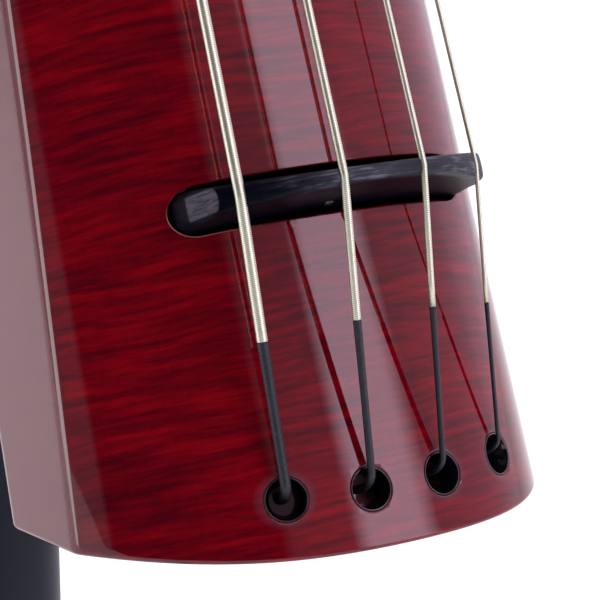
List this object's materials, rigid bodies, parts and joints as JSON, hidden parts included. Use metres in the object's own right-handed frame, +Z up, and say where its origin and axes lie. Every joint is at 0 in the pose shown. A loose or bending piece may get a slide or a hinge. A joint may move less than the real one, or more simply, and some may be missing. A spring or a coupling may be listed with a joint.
{
  "type": "electric cello on stand",
  "caption": "Slim solid-body electric cello with an arched flamed top, slot-set bridge and through-body strings, on a folding tripod stand.",
  "frame": {"origin": "on the floor, under the middle of the bounding box of the whole instrument and stand", "axes": "+Z up, -Y the player's front (the string side), +X the treble (A string) side"},
  "size_m": [0.6362, 0.555, 1.2775],
  "materials": {
    "red_maple": "flamed maple under transparent red high-gloss lacquer",
    "ebony": "oiled ebony, satin",
    "wound_steel": "flat-wound nickel steel",
    "silk": "tight blue-black silk winding",
    "black_lacquer": "gloss black",
    "chrome": "polished",
    "black_chrome": "dark polished metal",
    "black_plastic": "moulded, fine grain",
    "black_metal": "satin black",
    "rubber": "matte",
    "steel": "plain",
    "brass": "plain",
    "circuit_green": "solder mask"
  },
  "bodies": {
    "base": {"tripod_hub": "black_metal", "leg_bolts": "chrome", "column_outer_tube": "black_metal", "column_cap": "black_plastic", "clamp_collar": "black_metal"},
    "leg_left": {"leg_knuckle_left": "black_metal", "leg_tube_left": "black_metal", "foot_left": "rubber"},
    "leg_right": {"leg_knuckle_right": "black_metal", "leg_tube_right": "black_metal", "foot_right": "rubber"},
    "leg_rear": {"leg_knuckle_rear": "black_metal", "leg_tube_rear": "black_metal", "foot_rear": "rubber"},
    "height_clamp": {"height_knob": "black_plastic", "clamp_screw": "chrome"},
    "column": {"column_inner_tube": "black_metal", "tilt_head": "black_metal"},
    "instrument": {"body": "red_maple", "neck": "red_maple", "fingerboard": "ebony", "nut": "ebony", "truss_rod": "steel", "bridge": "ebony", "bridge_pickup": "brass", "string_c": "wound_steel", "string_g": "wound_steel", "string_d": "wound_steel", "string_a": "wound_steel", "string_bushes": "black_lacquer", "tail_silk_wraps": "silk", "peg_silk_wraps": "silk", "string_ball_ends": "brass", "tuner_housings": "black_lacquer", "battery": "black_plastic", "preamp_board": "circuit_green", "potentiometers": "steel", "output_jack": "chrome", "switch_bush": "chrome", "control_cover": "black_plastic", "cover_screws": "chrome", "neck_bolts": "chrome", "tilt_bracket": "black_metal", "bracket_screws": "chrome", "tilt_pin": "chrome"},
    "tilt_clamp": {"tilt_knob": "black_plastic"},
    "volume": {"volume_dial": "black_plastic"},
    "tone": {"tone_dial": "black_plastic"},
    "switch": {"switch_lever": "chrome"},
    "key_c": {"tuner_key_c": "black_chrome"},
    "post_c": {"tuner_post_c": "black_chrome"},
    "key_g": {"tuner_key_g": "black_chrome"},
    "post_g": {"tuner_post_g": "black_chrome"},
    "key_d": {"tuner_key_d": "black_chrome"},
    "post_d": {"tuner_post_d": "black_chrome"},
    "key_a": {"tuner_key_a": "black_chrome"},
    "post_a": {"tuner_post_a": "black_chrome"}
  },
  "joints": [
    {"name": "leg_right_fold", "type": "hinge", "parent": "base", "child": "leg_right", "pos_m": [0.03637, -0.1085, 0.128], "axis": [-0.5, -0.866, 0], "range_deg": [0, 108]},
    {"name": "leg_rear_fold", "type": "hinge", "parent": "base", "child": "leg_rear", "pos_m": [0, -0.0455, 0.128], "axis": [1, 0, 0], "range_deg": [0, 108]},
    {"name": "leg_left_fold", "type": "hinge", "parent": "base", "child": "leg_left", "pos_m": [-0.03637, -0.1085, 0.128], "axis": [-0.5, 0.866, 0], "range_deg": [0, 108]},
    {"name": "height_knob_turn", "type": "hinge", "parent": "base", "child": "height_clamp", "pos_m": [0, -0.0875, 0.346], "axis": [0.866, 0.5, 0], "range_deg": [0, 360]},
    {"name": "column_slide", "type": "slide", "parent": "base", "child": "column", "axis": [0, 0, 1], "range_m": [-0.085, 0.12]},
    {"name": "instrument_tilt", "type": "hinge", "parent": "column", "child": "instrument", "pos_m": [0, -0.0875, 0.605], "axis": [1, 0, 0], "range_deg": [-20, 24]},
    {"name": "tilt_knob_turn", "type": "hinge", "parent": "instrument", "child": "tilt_clamp", "pos_m": [0.026, -0.0875, 0.605], "axis": [1, 0, 0], "range_deg": [0, 360]},
    {"name": "volume_turn", "type": "hinge", "parent": "instrument", "child": "volume", "pos_m": [0.03519, -0.10368, 0.70634], "axis": [1, 0, 0], "range_deg": [0, 280]},
    {"name": "tone_turn", "type": "hinge", "parent": "instrument", "child": "tone", "pos_m": [0.0341, -0.0931, 0.73009], "axis": [1, 0, 0], "range_deg": [0, 280]},
    {"name": "switch_rock", "type": "hinge", "parent": "instrument", "child": "switch", "pos_m": [0.03309, -0.08334, 0.75202], "axis": [0, -0.9135, 0.4067], "range_deg": [-12, 12]},
    {"name": "key_c_turn", "type": "hinge", "parent": "instrument", "child": "key_c", "pos_m": [-0.018, 0.09376, 1.19161], "axis": [1, 0, 0], "continuous": true},
    {"name": "post_c_turn", "type": "hinge", "parent": "instrument", "child": "post_c", "pos_m": [-0.018, 0.07142, 1.19659], "axis": [0, -0.809, 0.5878], "continuous": true},
    {"name": "key_g_turn", "type": "hinge", "parent": "instrument", "child": "key_g", "pos_m": [-0.014, 0.12903, 1.24015], "axis": [1, 0, 0], "continuous": true},
    {"name": "post_g_turn", "type": "hinge", "parent": "instrument", "child": "post_g", "pos_m": [-0.014, 0.10669, 1.24513], "axis": [0, -0.809, 0.5878], "continuous": true},
    {"name": "key_d_turn", "type": "hinge", "parent": "instrument", "child": "key_d", "pos_m": [0.014, 0.12903, 1.24015], "axis": [1, 0, 0], "continuous": true},
    {"name": "post_d_turn", "type": "hinge", "parent": "instrument", "child": "post_d", "pos_m": [0.014, 0.10669, 1.24513], "axis": [0, -0.809, 0.5878], "continuous": true},
    {"name": "key_a_turn", "type": "hinge", "parent": "instrument", "child": "key_a", "pos_m": [0.018, 0.09376, 1.19161], "axis": [1, 0, 0], "continuous": true},
    {"name": "post_a_turn", "type": "hinge", "parent": "instrument", "child": "post_a", "pos_m": [0.018, 0.07142, 1.19659], "axis": [0, -0.809, 0.5878], "continuous": true}
  ],
  "couplings": [
    {"joint": "post_c_turn", "follows": "key_c_turn", "ratio": -0.0625},
    {"joint": "post_g_turn", "follows": "key_g_turn", "ratio": -0.0625},
    {"joint": "post_d_turn", "follows": "key_d_turn", "ratio": 0.0625},
    {"joint": "post_a_turn", "follows": "key_a_turn", "ratio": 0.0625}
  ]
}
